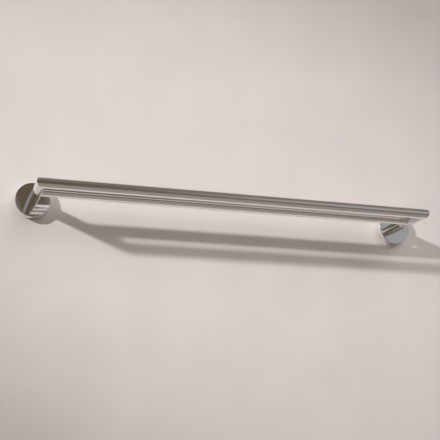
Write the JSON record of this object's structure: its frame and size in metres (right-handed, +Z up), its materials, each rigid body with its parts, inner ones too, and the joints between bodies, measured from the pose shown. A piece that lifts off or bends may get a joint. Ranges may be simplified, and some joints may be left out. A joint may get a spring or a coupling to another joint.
{
  "type": "double towel rail",
  "caption": "Double towel rail: a front rail mitred to round arms, a parallel back rail between the arms, and round cover plates that hide the wall brackets. Polished chrome tube.",
  "frame": {"origin": "on the wall plane, midway between the two wall plates and at the height of the arms", "axes": "+X along the rails to the right as seen from the room, +Y into the wall, +Z up; the rails stand out of the wall towards -Y"},
  "size_m": [0.762, 0.1395, 0.062],
  "materials": {
    "chrome": "polished",
    "cast_zinc": "as cast, matt",
    "brass": "turned",
    "screw_steel": "zinc plated"
  },
  "bodies": {
    "root": {"front_rail": "chrome", "back_rail": "chrome", "left_arm": "chrome", "right_arm": "chrome", "left_plate": "chrome", "right_plate": "chrome", "left_bracket": "cast_zinc", "left_arm_plug": "brass", "left_arm_screw": "screw_steel", "left_set_screw": "screw_steel", "right_bracket": "cast_zinc", "right_arm_plug": "brass", "right_arm_screw": "screw_steel", "right_set_screw": "screw_steel"}
  },
  "joints": []
}
